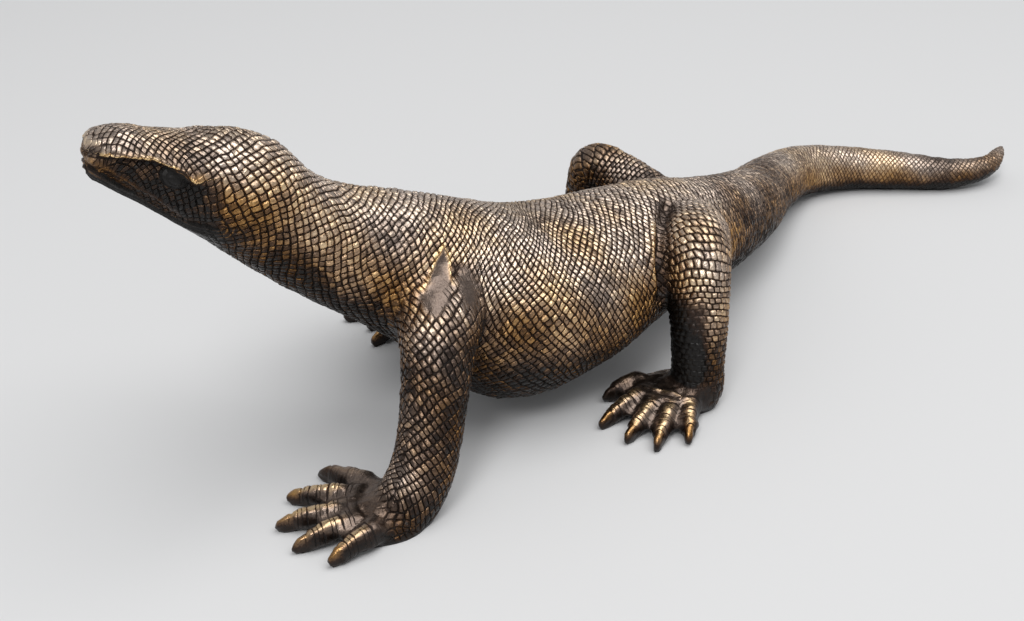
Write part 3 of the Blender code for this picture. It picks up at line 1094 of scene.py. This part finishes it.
TRUNK = CentreLine(
    (
        (-156, -5.1, 87.6, 1.6), (-150.9, -5, 86, 2.3), (-145.7, -4.7, 84.3, 6.8),
        (-137.7, -4, 80.8, 8.7), (-128.7, -4, 76.2, 10.7), (-119.7, -4, 70, 12.5),
        (-110.7, -3.5, 61.5, 13), (-100.7, -3, 51.3, 14), (-88.7, -3, 42.5, 16.5),
        (-74.7, -4, 34.8, 19.5), (-58.7, -8, 28.5, 24), (-42.7, -9, 27.5, 22.3),
        (-26.7, -7.5, 28, 19), (-11.7, -5, 27.5, 16.7), (3.3, -2, 25, 15),
        (21.3, 5, 21, 12.8), (41.3, 16, 16, 10.9), (61.3, 29, 11.9, 9.5),
        (81.3, 37, 8.9, 8), (99.3, 34, 7, 6.9), (114.3, 25, 6.1, 6),
        (128.3, 15.5, 5.2, 5), (140.3, 11.5, 6, 3.6), (148.3, 13.5, 8.2, 2.2),
        (151.3, 15, 9.2, 0.9), (156, 17.5, 10.8, 0.8),
    ),
    (0, 0, 1),
)
LEFT_ARM = CentreLine(
    (
        (-73.7, -5, 34, 9.3), (-78.7, -14, 37.5, 10), (-84.2, -22, 36, 9.5),
        (-88.2, -28, 30.5, 8.5), (-91.7, -32, 24, 7.6), (-94.7, -35, 17, 7.2),
        (-98.2, -37, 10, 7.3), (-101.7, -37.7, 5, 7.4), (-104.2, -37, 2, 7),
        (-106.5, -36.5, -4, 7),
    ),
    (1, 0.3, 0),
    8,
)
RIGHT_ARM = CentreLine(
    (
        (-75.7, -3, 34, 9.3), (-73.7, 6, 35.5, 10), (-69.7, 15, 33.5, 9.6),
        (-64.2, 22, 28.5, 8.7), (-58.7, 27.5, 22, 7.8), (-54.2, 31.5, 15.5, 7.4),
        (-50.2, 34.5, 9.5, 7.6), (-48.2, 36, 5, 7.8), (-49.2, 36.5, 2, 7.4),
        (-50, 36.5, -4, 7.4),
    ),
    (1, -0.3, 0),
    8,
)
LEFT_LEG = CentreLine(
    (
        (-4.7, -8, 29, 9.5), (-8.2, -16, 33.5, 9.7), (-12.2, -23, 35.5, 9),
        (-15.7, -29, 32.5, 8.1), (-17.7, -32.5, 25.5, 7.5), (-19.2, -35, 18, 7),
        (-20.2, -36.5, 10.5, 6.6), (-20.7, -37.5, 5, 6.7), (-22.2, -37, 2, 6.4),
        (-23, -36.5, -4, 6.4),
    ),
    (-1, 0, 0),
    8,
)
RIGHT_LEG = CentreLine(
    (
        (-3.7, -2, 29, 9.5), (-3.7, 6, 33, 8.2), (-6.2, 15, 36.8, 7.1),
        (-9.5, 22.5, 38.6, 6.4), (-9.2, 25, 30, 6.5), (-9.2, 26.5, 20, 6.7),
        (-10.2, 27.5, 10.5, 6.5), (-10.7, 28.5, 5, 6.7), (-12.2, 28, 2, 6.4),
        (-13, 28, -4, 6.4),
    ),
    (-1, 0, 0),
    8,
)
HIND_FAN = ((-50, 17.6), (-21, 23.8), (0, 24.2), (18, 24.4), (38, 20.8))

PARTS = (
    ScaledPart(
        "trunk",
        (TRUNK,),
        Scaling(
            Weave.LATTICE,
            (
                (-6, 1.4, 1.5, 0.12), (14, 1.5, 1.6, 0.15), (22, 1.7, 1.8, 0.2), (32, 2.1, 2.3, 0.28),
                (66, 2.1, 2.3, 0.3), (92, 1.8, 2.3, 0.28), (125, 1.55, 2.3, 0.26), (150, 1.55, 2.7, 0.26),
                (170, 1.4, 3.4, 0.22), (200, 1.4, 3, 0.16), (246, 1.5, 2.2, 0.1), (306, 1.5, 2.1, 0.08),
                (352, 1.6, 2.2, 0.1),
            ),
            pad=0.6,
            corner=5.5,
            lift=0.3,
            tilt=0.2,
            drift=0.22,
            seed=11,
        ),
    ),
    ScaledPart(
        "arms",
        (LEFT_ARM, RIGHT_ARM),
        Scaling(
            Weave.LATTICE,
            ((-4, 1.6, 1.8, 0.26), (35, 1.7, 1.9, 0.28), (80, 1.5, 1.8, 0.22)),
            stretch=0.62,
            pad=0.58,
            corner=5,
            lift=0.3,
            tilt=0.2,
            drift=0.17,
            seed=31,
        ),
    ),
    ScaledPart(
        "legs",
        (LEFT_LEG, RIGHT_LEG),
        Scaling(
            Weave.BRICKS,
            ((-4, 1.1, 1.6, 0.16), (12, 1.2, 1.7, 0.2), (26, 1.35, 1.9, 0.26), (40, 1.4, 1.9, 0.24),
             (80, 1.2, 1.6, 0.18)),
            pad=0.6,
            corner=5,
            lift=0.25,
            tilt=0.2,
            drift=0.17,
            seed=51,
        ),
    ),
)
FEET = (
    Foot(-107.7, -36.5, 156, 1, ((-53, 23.1), (-25, 23.4), (0, 23.9), (22, 22), (48, 19.4))),
    Foot(-53.7, 36.5, 180, -1, ((-50, 22), (-18, 23.7), (2, 19.6), (21, 24.2), (47, 20))),
    Foot(-24.7, -33, 204, 1, HIND_FAN),
    Foot(-14.7, 23.5, 160, -1, HIND_FAN),
)
FOLDS = (
    Fold(
        ((-14.3, -14.6, 43.1), (-19.5, -19.2, 41.8), (-23.7, -23.7, 38.6), (-26.2, -27.3, 34.1),
         (-26.7, -28.7, 28.9)),
        ((-22.4, -19.7, 41.9), (-26.7, -24.8, 38.6), (-29.1, -28.2, 34.1), (-29.1, -29.3, 30)),
        1.5,
        1.7,
        0.7,
    ),
    Fold(
        ((-12.5, 7, 43), (-15.5, 12, 41), (-17.2, 15.5, 37)),
        ((-15, 7.5, 43), (-18, 12.5, 40.5), (-19.8, 15.8, 36.5)),
        1.1,
        0.7,
        0.3,
    ),
    Fold(
        ((-34.2, -31, 6.8), (-33.2, -33.6, 6), (-31.2, -37.2, 6), (-29, -42.8, 5.6)),
        ((-33.2, -32, 7.2), (-31.7, -34.6, 6.6), (-29.7, -37.8, 6.6), (-27.7, -43.1, 6.3)),
        0.6,
        0.3,
        0.4,
    ),
)
PATCHES = (
    BarePatch(
        ((-79.5, 51.5), (-82.7, 49.3), (-85.7, 46.4), (-88.2, 44.8), (-90, 43.1), (-88.8, 41.2),
         (-84.8, 42.9), (-81.1, 45.5), (-79.5, 48.2)),
        (
            ((-79.5, 51.5), (-82.7, 49.3), (-85.7, 46.4), (-88.2, 44.8)),
            ((-79.5, 51.5), (-79.5, 48.2), (-81.1, 45.5)),
        ),
        0.1,
    ),
    BarePatch(
        ((-77.2, 46.9), (-75.6, 46.5), (-74.5, 42.1), (-77.8, 39.1), (-80.7, 42), (-80.3, 44.5)),
        (),
        0.05,
    ),
)


@dataclass
class DragonCasting:
    """The figurine, cast in one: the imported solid's form under a sculpted skin.

    Lengths are in mm. Centre lines are rows of x, y, z and radius.
    """

    finish: PatinatedBronze = PatinatedBronze()
    wear_and_painted_light: WearAndPaintedLight = WearAndPaintedLight()
    head: Head = Head()
    name: str = "komodo_dragon_skin"
    weld: float = 0.001
    grid: float = 0.32
    fairing_rounds: int = 22
    most_triangles: int = 198000
    sole: float = 0.35
    fork: tuple = (-0.06, 0.1)
    broad_rounds: int = 40
    parts: tuple = PARTS
    feet: tuple = FEET
    folds: tuple = FOLDS
    patches: tuple = PATCHES

    def build(self) -> bpy.types.Object:
        """Cast the skin, sculpt it, thin it and dress it.

        Returns:
            The finished piece.
        """
        piece = self._cast()
        log.info("%s: cast with %d points", piece.name, len(piece.data.vertices))
        self._sculpt(piece)
        self._thin(piece)
        log.info("%s: thinned to %d triangles", piece.name, len(piece.data.polygons))
        self._mark(piece)
        piece.data.materials.clear()
        piece.data.materials.append(BronzeShader(self.finish, self.head, self.parts).material())
        piece.data.shade_smooth()
        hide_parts(NODE)
        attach(piece, BODY)
        log.info("%s: finished", piece.name)
        return piece

    def _cast(self) -> bpy.types.Object:
        """Lay an even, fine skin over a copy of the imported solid."""
        mesh = bpy.data.meshes.new(self.name)
        form = bmesh.new()
        form.from_mesh(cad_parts[NODE].data)
        bmesh.ops.remove_doubles(form, verts=form.verts, dist=self.weld * MM)
        form.to_mesh(mesh)
        form.free()
        piece = bpy.data.objects.new(self.name, mesh)
        bpy.context.scene.collection.objects.link(piece)
        skin = piece.modifiers.new("skin", "REMESH")
        skin.mode = "VOXEL"
        skin.voxel_size = self.grid * MM
        self._settle(piece)
        return piece

    @staticmethod
    def _settle(piece: bpy.types.Object) -> None:
        """Make what the modifiers give the piece's own mesh."""
        shaped = piece.evaluated_get(bpy.context.evaluated_depsgraph_get())
        mesh = bpy.data.meshes.new_from_object(shaped)
        before = piece.data
        piece.modifiers.clear()
        piece.data = mesh
        bpy.data.meshes.remove(before)

    @staticmethod
    def _points(mesh: bpy.types.Mesh) -> np.ndarray:
        """Read a mesh's points, in mm."""
        flat = np.empty(len(mesh.vertices) * 3, np.float32)
        mesh.vertices.foreach_get("co", flat)
        return flat.reshape(-1, 3).astype(float) / MM

    @staticmethod
    def _place(mesh: bpy.types.Mesh, points: np.ndarray) -> None:
        """Move a mesh's points to places in mm."""
        mesh.vertices.foreach_set("co", (points * MM).astype(np.float32).ravel())
        mesh.update()

    @staticmethod
    def _normals(mesh: bpy.types.Mesh) -> np.ndarray:
        """Read the direction that a mesh faces at each point."""
        flat = np.empty(len(mesh.vertices) * 3, np.float32)
        mesh.vertex_normals.foreach_get("vector", flat)
        return flat.reshape(-1, 3).astype(float)

    @staticmethod
    def _spread(mesh: bpy.types.Mesh, values: np.ndarray, shares: tuple) -> np.ndarray:
        """Move each point's values towards the mean of its neighbours' values, once for each share.

        Args:
            mesh: The mesh whose edges join neighbours.
            values: A row of values for each point.
            shares: How far the values move each time. A negative share moves them away.

        Returns:
            The rows of values after the last time.
        """
        edges = np.empty(len(mesh.edges) * 2, np.int32)
        mesh.edges.foreach_get("vertices", edges)
        others = edges.reshape(-1, 2)[:, ::-1].ravel()
        count = len(values)
        valence = np.maximum(np.bincount(edges, minlength=count), 1)[:, None]
        for share in shares:
            sums = [np.bincount(edges, column[others], count) for column in values.T]
            values = values + share * (np.stack(sums, axis=1) / valence - values)
        return values

    def _survey(self, places: np.ndarray) -> Survey:
        """Find the part of the body and the scale that each point belongs to."""
        readings = [part.read(places) for part in self.parts]
        trunk, arms, legs = readings
        limbs = smooth_step(*self.fork, trunk.closeness - np.minimum(arms.closeness, legs.closeness))
        on_arm = arms.closeness < legs.closeness
        scaled = 1 - measure_near(self.head.near(places), places, self.head.smooth)
        for foot in self.feet:
            scaled = np.minimum(scaled, 1 - measure_near(foot.near(places), places, foot.share))
        return Survey(
            [part.scaling.cells(places, reading) for part, reading in zip(self.parts, readings)],
            [1 - limbs, limbs * on_arm, limbs * ~on_arm],
            [part.groove_depth(reading.along) for part, reading in zip(self.parts, readings)],
            scaled * smooth_step(0.3, 1.4, places[:, 2]),
        )

    def _bare(self, places: np.ndarray, outward: np.ndarray) -> np.ndarray:
        """How far points lie in a bare patch of the flank, from 0 to 1."""
        return np.max([patch.share(places, outward) for patch in self.patches], axis=0)

    def _sculpt(self, piece: bpy.types.Object) -> None:
        """Cut the scales, the face, the digits and the folds into the skin."""
        mesh = piece.data
        self._place(mesh, self._spread(mesh, self._points(mesh), (0.5, -0.52) * self.fairing_rounds))
        places = self._points(mesh)
        outward = self._normals(mesh)
        log.info("%s: fair", piece.name)
        survey = self._survey(places)
        for part, cells, share in zip(self.parts, survey.cells, survey.shares):
            move = part.scaling.snap(places, outward, cells, self.grid * 0.55)
            places = places + move * ((share > 0.5) & (survey.scaled > 0.2))[:, None]
        survey = self._survey(places)
        bare = self._bare(places, outward)
        relief = np.zeros(len(places))
        for part, cells, share, depth in zip(self.parts, survey.cells, survey.shares, survey.depths):
            relief += part.scaling.relief(cells) * share * depth
        relief *= survey.scaled * (1 - bare)
        relief += 0.05 * wander(places, 2.4, 91) + 0.06 * wander(places, 4.5, 92)
        relief += measure_near(self.head.near(places), places, self.head.relief)
        for thing in self.feet + self.folds:
            relief += measure_near(thing.near(places), places, thing.relief)
        for patch in self.patches:
            relief -= patch.floor * patch.share(places, outward)
            if patch.rim:
                relief += 0.35 * bell(patch.rim_distance(places), 0.35)
        relief *= smooth_step(0.1, 1.2, places[:, 2])
        places = places + outward * relief[:, None]
        places[:, 2] = np.where(places[:, 2] < self.sole, 0, places[:, 2])
        self._place(mesh, places)
        log.info("%s: sculpted, from %.2f to %.2f mm", piece.name, relief.min(), relief.max())

    def _thin(self, piece: bpy.types.Object) -> None:
        """Take triangles out where the skin is plain."""
        piece.modifiers.new("triangles", "TRIANGULATE")
        thin = piece.modifiers.new("thin", "DECIMATE")
        thin.ratio = self.most_triangles / sum(len(face.vertices) - 2 for face in piece.data.polygons)
        self._settle(piece)

    def _mark(self, piece: bpy.types.Object) -> None:
        """Record on the mesh which scale and which finish each point has, with painted highlight and painted
        shade in the finish's tone.
        """
        mesh = piece.data
        wear_and_painted_light = self.wear_and_painted_light
        places = self._points(mesh)
        outward = unit(self._spread(mesh, self._normals(mesh), (0.5,) * self.broad_rounds))
        survey = self._survey(places)
        bare = self._bare(places, outward)
        x, y, z = places.T
        on_head = self.head.near(places)
        # Upper sides get a painted highlight besides the rubbing, and undersides painted shade besides the
        # darker patina.
        top = smooth_step(-0.1, 0.8, outward[:, 2])
        under = 1 - smooth_step(-0.75, 0.0, outward[:, 2])
        arms, legs = survey.shares[1], survey.shares[2]
        # The front of the lower hind leg is painted near black, dark patina and painted shade, with its
        # scales faded out.
        inner = legs * smooth_step(0.2, 0.6, -outward[:, 0])
        inner *= smooth_step(6, 9, z) * (1 - smooth_step(26, 31, z))
        dark = measure_near(on_head, places, self.head.dark)
        gilt = measure_near(on_head, places, self.head.bright)
        hand, crease_patina_and_shade, cuts, cut_share = np.zeros((4, len(places)))
        for foot in self.feet:
            near = foot.near(places)
            hand = np.maximum(hand, measure_near(near, places, foot.share))
            nails = measure_near(near, places, foot.nails) * smooth_step(0.35, 0.85, outward[:, 2])
            gilt = np.maximum(gilt, 0.8 * nails)
            gilt = np.maximum(gilt, measure_near(near, places, foot.digit_tops))
            cuts = cuts + measure_near(near, places, lambda p, f=foot: f.rings(p)[0])
            cut_share = np.maximum(cut_share, measure_near(near, places, lambda p, f=foot: f.rings(p)[1]))
        # Creases are painted dark, partly patina and partly painted shade, and their raised edges rubbed
        # bright.
        for fold in self.folds:
            near = fold.near(places)
            crease_patina_and_shade = np.maximum(crease_patina_and_shade, measure_near(near, places, fold.shade))
            gilt = np.maximum(gilt, 0.9 * measure_near(near, places, fold.shine))
        for patch in self.patches:
            if patch.rim:
                gilt = np.maximum(gilt, 0.9 * bell(patch.rim_distance(places), 0.4))
        scaled = survey.scaled * (1 - bare) * (1 - 0.9 * inner) * (1 - 0.7 * crease_patina_and_shade)
        scaled *= 1 - 0.6 * smooth_step(60, 110, x)
        neck = smooth_step(*wear_and_painted_light.neck, x)
        tone = wear_and_painted_light.ground + wear_and_painted_light.neck_gain * neck + wear_and_painted_light.drift * wander(places, 20, 5)
        # Painted highlight on upper sides and painted shade on undersides, each partly the patina's own
        # rubbing or darkness.
        tone += wear_and_painted_light.upper * top - (wear_and_painted_light.lower[0] + wear_and_painted_light.lower[1] * neck) * under
        for gain, start, end in wear_and_painted_light.along:
            tone += gain * smooth_step(start, end, x)
        # Forearms and shins darken downwards: darker patina and painted shade together.
        for share, (loss, low, high) in ((arms, wear_and_painted_light.forearm), (legs, wear_and_painted_light.shin)):
            tone -= loss * share * (1 - smooth_step(low, high, z))
        # A painted highlight on the neck's upper side behind the head.
        tone += wear_and_painted_light.nape_highlight[0] * top * bell(x - wear_and_painted_light.nape_highlight[1], wear_and_painted_light.nape_highlight[2])
        # Painted shade in the dip before the left shoulder.
        tone -= wear_and_painted_light.hollow_shade[0] * bell(np.linalg.norm(places - wear_and_painted_light.hollow_shade[1], axis=1), wear_and_painted_light.hollow_shade[2])
        # Legs: upper sides lighter, partly painted highlight; the far leg darker; the front of the shin near
        # black, partly painted shade.
        tone += wear_and_painted_light.thigh_top * legs * top - wear_and_painted_light.far_leg * legs * (y > 0) - wear_and_painted_light.inner_shin_patina_and_shade * inner
        # Dark patina with painted shade on the face's dark places and in the creases; painted shade where the
        # arms meet the trunk.
        tone -= wear_and_painted_light.face * dark + wear_and_painted_light.crease * crease_patina_and_shade + wear_and_painted_light.arm_seam_shade * arms * (1 - arms)
        # Hands: sides painted in shade, upper sides given a painted highlight.
        tone += (wear_and_painted_light.hand[0] + wear_and_painted_light.hand[1] * smooth_step(0.3, 1.0, outward[:, 2]) - tone) * hand
        tone += (wear_and_painted_light.bare - tone) * bare
        # Upper sides are greyer, a painted reflection of the white overhead light; the hue's slow drift is
        # the bronze's own.
        warm = np.clip(0.74 - 0.6 * top + 0.25 * wander(places, 17, 7), 0, 1)
        warm *= (1 - bare) * (1 - 0.6 * hand) * (1 - 0.7 * dark)
        for part, cells, share in zip(self.parts, survey.cells, survey.shares):
            self._write(mesh, part.name, cells.first, cells.second, share * scaled)
        # The finish holds the tone, with painted highlight and painted shade, the hue, with its painted
        # reflection, and the rubbed gilt.
        self._write(mesh, "finish", np.clip(tone, -0.2, 1), warm, gilt)
        self._write(mesh, "cuts", cuts, cut_share, 1 - scaled)
        lines = [
            np.where(on_head, measure_near(on_head, places, lambda p, run=run: self.head.above(p, run)), 30.0)
            for run in (self.head.brow, self.head.mouth)
        ]
        rings = np.where(on_head, measure_near(on_head, places, self.head.eye_rings), 9.0)
        self._write(mesh, "face", *lines, rings)

    @staticmethod
    def _write(mesh: bpy.types.Mesh, name: str, *values: np.ndarray) -> None:
        """Store three values at each point of a mesh as one vector."""
        layer = mesh.attributes.new(name, "FLOAT_VECTOR", "POINT")
        layer.data.foreach_set("vector", np.stack(values, axis=1).astype(np.float32).ravel())


@dataclass
class Studio:
    """The floor, the soft lights and the camera. Lengths are in mm."""

    floor: StudioFloor = StudioFloor()
    heading: tuple = (0.545, 0.839)
    pitch: float = 30.0
    focal_pixels: float = 1400.0
    frame_pixels: float = 1024.0
    sensor: float = 36.0
    camera_place: tuple = (-216.3, -255.0, 193.0)
    overhead: tuple = ((210.0, -230.0, 1150.0), 1250.0, 8.1)
    front: tuple = ((-620.0, -480.0, 900.0), 350.0, 3.3)
    sky: str = "#f4f5f7"
    sky_strength: float = 0.5

    def build(self) -> None:
        """Lay the floor, hang the lights and set up the camera."""
        self._lay_floor()
        self._light("overhead", *self.overhead)
        self._light("front", *self.front)
        self._sky()
        self._camera()

    def _lay_floor(self) -> None:
        """Make the pale floor."""
        mesh = bpy.data.meshes.new("studio_floor")
        form = bmesh.new()
        radius = self.floor.half_size * MM
        bmesh.ops.create_circle(form, cap_ends=True, segments=self.floor.sides, radius=radius)
        bmesh.ops.translate(form, verts=form.verts, vec=(0, 0, -self.floor.drop * MM))
        form.to_mesh(mesh)
        form.free()
        material = bpy.data.materials.new("matte_grey_paper")
        material.use_nodes = True
        surface = material.node_tree.nodes["Principled BSDF"]
        surface.inputs["Base Color"].default_value = linear_colour(self.floor.colour)
        surface.inputs["Roughness"].default_value = self.floor.roughness
        surface.inputs["Specular IOR Level"].default_value = self.floor.specular
        mesh.materials.append(material)
        sheet = bpy.data.objects.new("studio_floor", mesh)
        bpy.context.scene.collection.objects.link(sheet)
        log.info("studio_floor: %.1f m across", 2 * self.floor.half_size * MM)

    def _light(self, name: str, place: tuple, size: float, power: float) -> None:
        """Hang a round soft light that faces the figurine."""
        lamp = bpy.data.lights.new(name, "AREA")
        lamp.shape = "DISK"
        lamp.size = size * MM
        lamp.energy = power
        holder = bpy.data.objects.new(name, lamp)
        holder.location = Vector(place) * MM
        holder.rotation_euler = Vector(place).to_track_quat("Z", "Y").to_euler()
        bpy.context.scene.collection.objects.link(holder)

    def _sky(self) -> None:
        """Fill the studio with even light."""
        world = bpy.data.worlds.new("studio")
        world.use_nodes = True
        backdrop = world.node_tree.nodes["Background"]
        backdrop.inputs["Color"].default_value = linear_colour(self.sky)
        backdrop.inputs["Strength"].default_value = self.sky_strength
        bpy.context.scene.world = world

    def _camera(self) -> None:
        """Stand the camera where the photograph was taken from."""
        lens = bpy.data.cameras.new("camera")
        lens.sensor_width = self.sensor
        lens.lens = self.focal_pixels / self.frame_pixels * self.sensor
        lens.clip_start = 0.01
        viewer = bpy.data.objects.new("camera", lens)
        viewer.location = Vector(self.camera_place) * MM
        down = math.radians(self.pitch)
        ahead = Vector((self.heading[0] * math.cos(down), self.heading[1] * math.cos(down), -math.sin(down)))
        viewer.rotation_euler = ahead.to_track_quat("-Z", "Y").to_euler()
        bpy.context.scene.collection.objects.link(viewer)
        bpy.context.scene.camera = viewer


def main() -> None:
    """Build the figurine and the studio, and report each piece."""
    logging.basicConfig(level=logging.INFO, format="%(relativeCreated)6d ms  %(message)s")
    bpy.context.scene.view_settings.view_transform = "Standard"
    Studio().build()
    DragonCasting().build()


if __name__ == "__main__":
    main()
